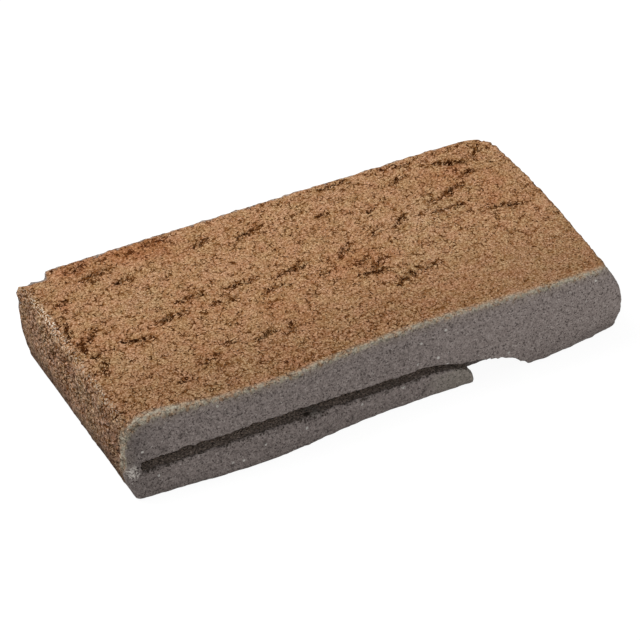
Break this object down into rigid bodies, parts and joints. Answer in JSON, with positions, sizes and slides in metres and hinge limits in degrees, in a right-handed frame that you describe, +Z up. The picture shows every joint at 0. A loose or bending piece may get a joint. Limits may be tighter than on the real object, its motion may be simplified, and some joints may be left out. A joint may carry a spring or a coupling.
{
  "type": "concrete wall block",
  "caption": "Flat pressed concrete wall block with a rough face, swollen ends, and a connector slot along one long side that opens into a notch at the base.",
  "frame": {"origin": "centre of the bounding box of the base, on the floor that the block lies on", "axes": "+X along the block towards the notched end, +Y from the slotted long side to the plain long side, +Z up through the rough face"},
  "size_m": [0.4088, 0.2124, 0.064],
  "materials": {
    "concrete": "rough, matt, pitted face"
  },
  "bodies": {
    "root": {"wall_block": "concrete"}
  },
  "joints": []
}
